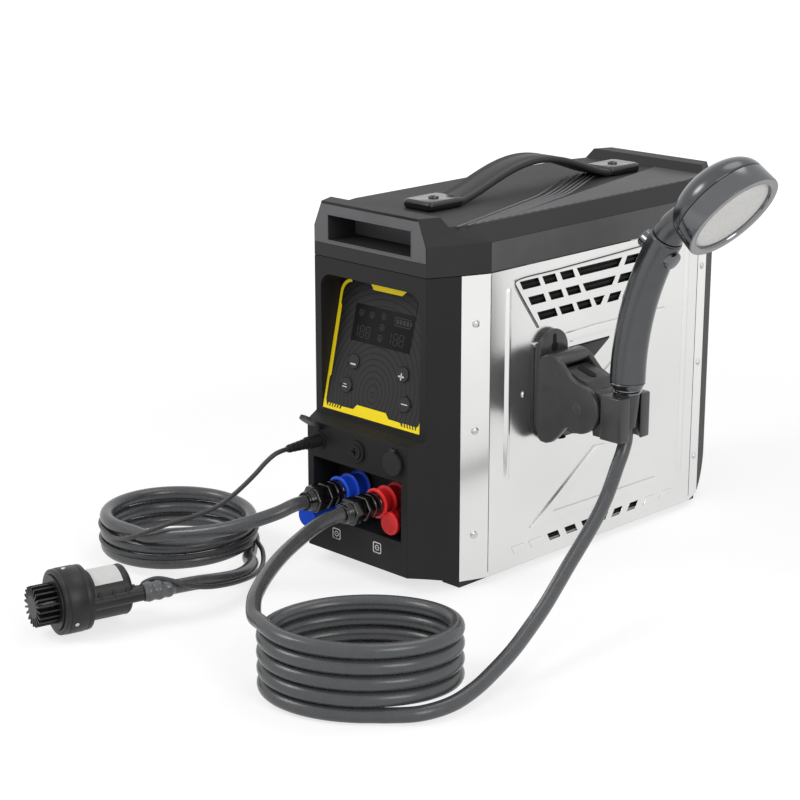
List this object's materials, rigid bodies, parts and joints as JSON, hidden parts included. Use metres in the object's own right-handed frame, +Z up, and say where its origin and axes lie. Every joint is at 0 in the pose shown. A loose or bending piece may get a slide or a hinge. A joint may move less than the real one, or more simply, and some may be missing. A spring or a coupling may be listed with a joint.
{
  "type": "portable propane water heater",
  "caption": "Portable tankless gas water heater with a carrying strap, a hand shower on a side holder, two coiled hoses and a submersible pump with its cable.",
  "frame": {"origin": "on the ground, under the middle of the heater's box with its hand shower and gas inlet", "axes": "+Z up, control face toward -Y, stainless side with the shower holder toward +X"},
  "size_m": [0.5292, 0.7072, 0.3801],
  "materials": {
    "black_plastic": "fine-grained matte black moulding",
    "stainless": "bright annealed stainless sheet",
    "panel_grey": "dark grey overlay with fine lines",
    "yellow": "bright yellow printed trim",
    "window": "smoked display window",
    "button_black": "soft black button",
    "board_green": "circuit board",
    "rubber_black": "black rubber",
    "rubber_blue": "blue rubber",
    "rubber_red": "red rubber",
    "gloss_black": "gloss black plastic",
    "screw_steel": "zinc-plated screw",
    "galvanised": "galvanised sheet",
    "holder_grey": "dark grey plastic",
    "handset_grey": "silver grey painted plastic",
    "spray_white": "pale spray face",
    "copper": "copper",
    "brass_fitting": "brass",
    "valve_alloy": "cast alloy",
    "rotor_plastic": "moulded rotor",
    "battery_blue": "shrink-wrapped cells",
    "pump_white": "white moulding",
    "hose_grey": "grey PVC hose",
    "cable_black": "black cable"
  },
  "bodies": {
    "case": {"front_housing": "black_plastic", "right_panel": "stainless", "left_panel": "stainless", "rear_cover": "black_plastic", "top_cover": "black_plastic", "bottom_pan": "galvanised", "feet": "rubber_black", "casing_screws": "screw_steel", "control_overlay": "panel_grey", "overlay_trim": "yellow", "display_window": "window", "control_board": "board_green", "dc_sockets": "black_plastic", "fuse_holder": "black_plastic", "water_ports": "black_plastic", "hose_fittings": "black_plastic", "handle_strap": "black_plastic", "handle_end_caps": "gloss_black", "holder_base": "holder_grey", "holder_pivot": "screw_steel", "heat_exchanger": "copper", "burner": "galvanised", "gas_valve": "valve_alloy", "gas_inlet": "brass_fitting", "fan_housing": "galvanised", "battery_pack": "battery_blue", "flow_sensor": "black_plastic", "water_pipes": "copper", "pump_body": "gloss_black", "pump_strainer": "gloss_black", "pump_plug": "rubber_black", "cold_hose_lead": "hose_grey", "cold_hose_coil": "hose_grey", "cold_hose_tail": "hose_grey", "pump_cable_lead": "cable_black", "pump_cable_coil": "cable_black", "pump_cable_tail": "cable_black", "hot_hose_lead": "hose_grey", "hot_hose_coil": "hose_grey", "hot_hose_rise": "hose_grey"},
    "minus_key": {"minus_button": "button_black"},
    "plus_key": {"plus_button": "button_black"},
    "mode_key": {"mode_button": "button_black"},
    "power_key": {"power_button": "button_black"},
    "dc_cover": {"dc_socket_cover": "rubber_black"},
    "pump_cover": {"pump_socket_cover": "rubber_black"},
    "fuse_top": {"fuse_cap": "black_plastic"},
    "cold_sleeve": {"cold_cap": "rubber_blue"},
    "hot_sleeve": {"hot_cap": "rubber_red"},
    "cold_nut": {"cold_union_nut": "black_plastic"},
    "hot_nut": {"hot_union_nut": "black_plastic"},
    "arm": {"holder_arm": "holder_grey"},
    "hand_shower": {"handset_grip": "handset_grey", "handset_head": "handset_grey", "head_ring": "handset_grey", "spray_plate": "spray_white"},
    "stop": {"stop_button": "handset_grey"},
    "cone_nut": {"handset_nut": "handset_grey"},
    "exhaust_fan": {"fan_rotor": "rotor_plastic"},
    "impeller": {"pump_impeller": "pump_white"}
  },
  "joints": [
    {"name": "minus_press", "type": "slide", "parent": "case", "child": "minus_key", "axis": [0, 0.9751, -0.2216], "range_m": [0, 0.0006], "stiffness_N_per_m": 600, "springref_m": -0.0006},
    {"name": "plus_press", "type": "slide", "parent": "case", "child": "plus_key", "axis": [0, 0.9751, -0.2216], "range_m": [0, 0.0006], "stiffness_N_per_m": 600, "springref_m": -0.0006},
    {"name": "mode_press", "type": "slide", "parent": "case", "child": "mode_key", "axis": [0, 0.9751, -0.2216], "range_m": [0, 0.0006], "stiffness_N_per_m": 600, "springref_m": -0.0006},
    {"name": "power_press", "type": "slide", "parent": "case", "child": "power_key", "axis": [0, 0.9751, -0.2216], "range_m": [0, 0.0006], "stiffness_N_per_m": 600, "springref_m": -0.0006},
    {"name": "dc_cover_hinge", "type": "hinge", "parent": "case", "child": "dc_cover", "pos_m": [-0.06028, -0.1943, 0.1266], "axis": [-1, 0, 0], "range_deg": [0, 130]},
    {"name": "pump_cover_hinge", "type": "hinge", "parent": "case", "child": "pump_cover", "pos_m": [-0.15278, -0.1943, 0.1266], "axis": [-1, 0, 0], "range_deg": [-40, 4]},
    {"name": "fuse_cap_turn", "type": "hinge", "parent": "case", "child": "fuse_top", "pos_m": [-0.10578, -0.1927, 0.1155], "axis": [0, 1, 0], "range_deg": [0, 90]},
    {"name": "cold_cap_turn", "type": "hinge", "parent": "case", "child": "cold_sleeve", "pos_m": [-0.12928, -0.1795, 0.074], "axis": [0, 1, 0], "range_deg": [-5, 30]},
    {"name": "hot_cap_turn", "type": "hinge", "parent": "case", "child": "hot_sleeve", "pos_m": [-0.08328, -0.1795, 0.074], "axis": [0, 1, 0], "range_deg": [-20, 6]},
    {"name": "cold_nut_spin", "type": "hinge", "parent": "case", "child": "cold_nut", "pos_m": [-0.12928, -0.2035, 0.074], "axis": [0, 1, 0], "continuous": true},
    {"name": "hot_nut_spin", "type": "hinge", "parent": "case", "child": "hot_nut", "pos_m": [-0.08328, -0.2035, 0.074], "axis": [0, 1, 0], "continuous": true},
    {"name": "holder_tilt", "type": "hinge", "parent": "case", "child": "arm", "pos_m": [0.03272, -0.0455, 0.156], "axis": [0, 1, 0], "range_deg": [-15, 35], "deforming": ["hot_hose_rise"]},
    {"name": "handset_lift", "type": "slide", "parent": "arm", "child": "hand_shower", "axis": [0, 0, 1], "range_m": [0, 0.12]},
    {"name": "cone_nut_spin", "type": "hinge", "parent": "hand_shower", "child": "cone_nut", "pos_m": [0.06872, -0.0455, 0.16], "axis": [0, 0, 1], "continuous": true},
    {"name": "stop_push", "type": "slide", "parent": "hand_shower", "child": "stop", "axis": [0.8846, 0, -0.4664], "range_m": [-0.004, 0.004]},
    {"name": "fan_spin", "type": "hinge", "parent": "case", "child": "exhaust_fan", "pos_m": [-0.10628, 0.0115, 0.21], "axis": [0, 0, 1], "continuous": true},
    {"name": "impeller_spin", "type": "hinge", "parent": "case", "child": "impeller", "pos_m": [-0.18738, -0.44101, 0.0273], "axis": [0.2419, 0.9703, 0], "continuous": true}
  ]
}
